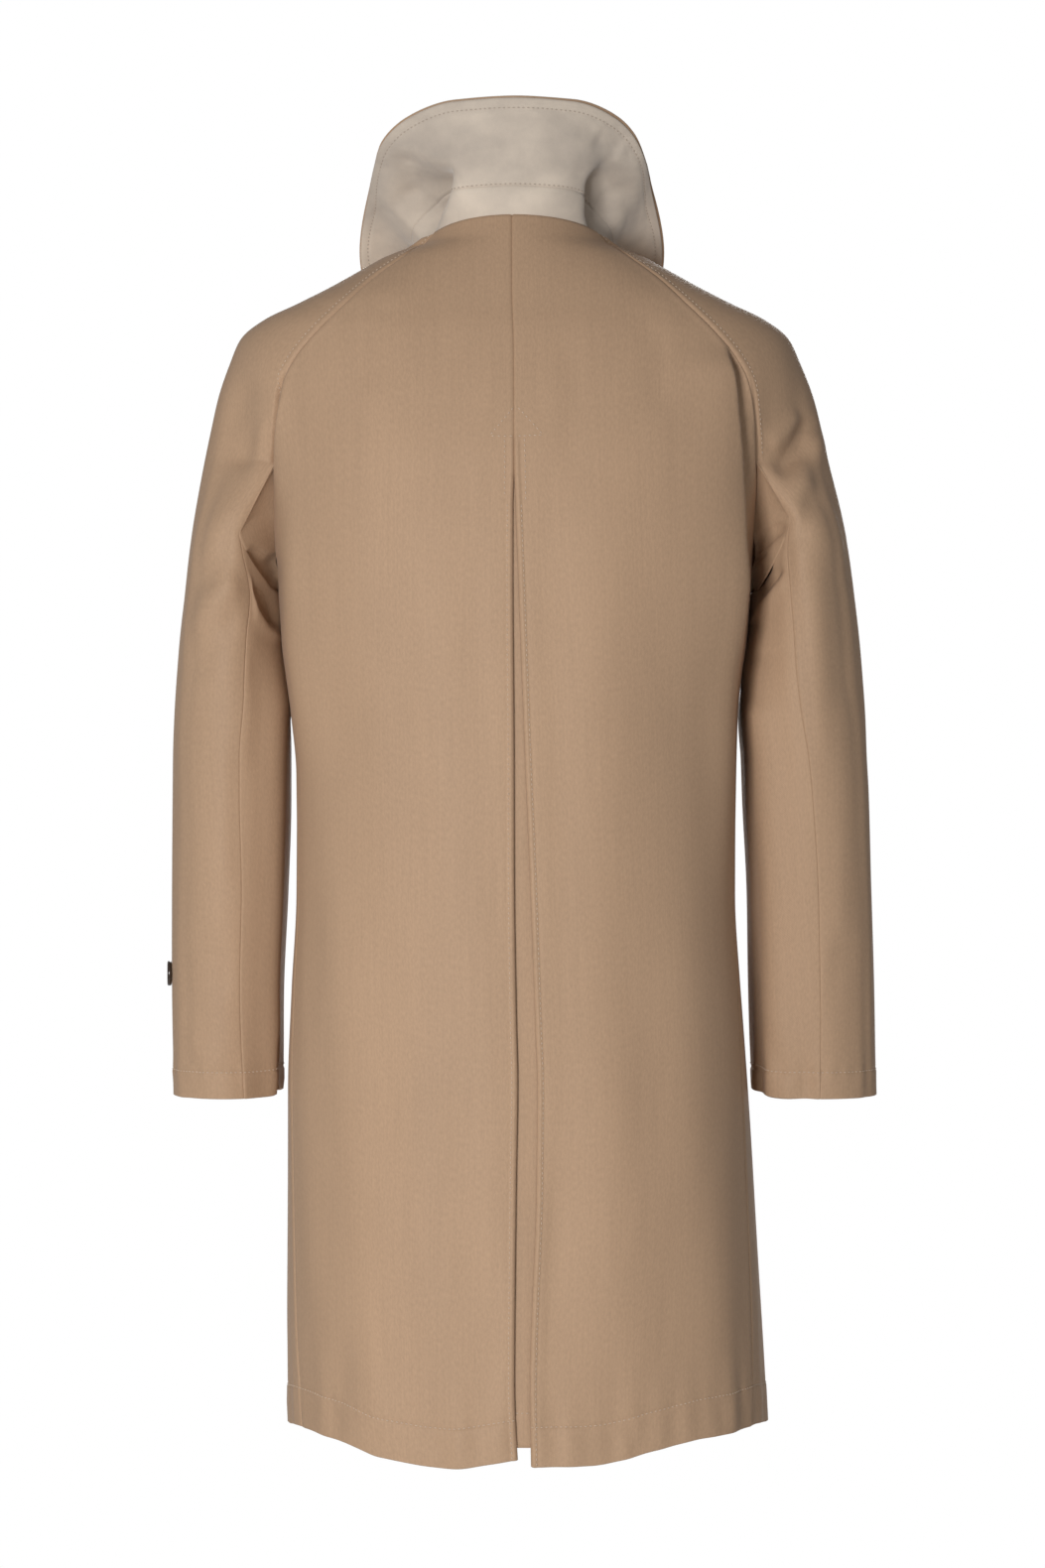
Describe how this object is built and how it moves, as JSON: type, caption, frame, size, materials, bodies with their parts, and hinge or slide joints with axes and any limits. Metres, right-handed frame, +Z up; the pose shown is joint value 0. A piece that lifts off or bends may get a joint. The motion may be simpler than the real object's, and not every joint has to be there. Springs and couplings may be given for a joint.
{
  "type": "knee-length raincoat",
  "caption": "Knee-length single-breasted raincoat with raglan sleeves, turned-up suede-backed collar and a centre back vent, filled out as worn.",
  "frame": {"origin": "the middle of the neck on the shoulder line, where the wearer's shoulders hold the coat up", "axes": "+Z up, -Y towards the front of the coat, +X towards the wearer's left sleeve"},
  "size_m": [0.5751, 0.3327, 1.058],
  "materials": {
    "coat_cloth": "tan cotton gabardine with a fine steep twill and a soft satin sheen",
    "collar_suede": "grey-beige suede with a short brushed nap",
    "button": "dark brown polished button with four holes"
  },
  "bodies": {
    "root": {"back_left": "coat_cloth", "back_right": "coat_cloth", "vent_underlay": "coat_cloth", "front_left": "coat_cloth", "front_right": "coat_cloth", "top_sleeve_left": "coat_cloth", "top_sleeve_right": "coat_cloth", "under_sleeve_left": "coat_cloth", "under_sleeve_right": "coat_cloth", "gusset_left": "coat_cloth", "gusset_right": "coat_cloth", "collar_stand": "collar_suede", "under_collar": "collar_suede", "upper_collar": "coat_cloth", "front_button_1": "button", "front_button_2": "button", "front_button_3": "button", "front_button_4": "button", "front_button_5": "button", "sleeve_button_left": "button", "sleeve_button_right": "button"}
  },
  "joints": []
}
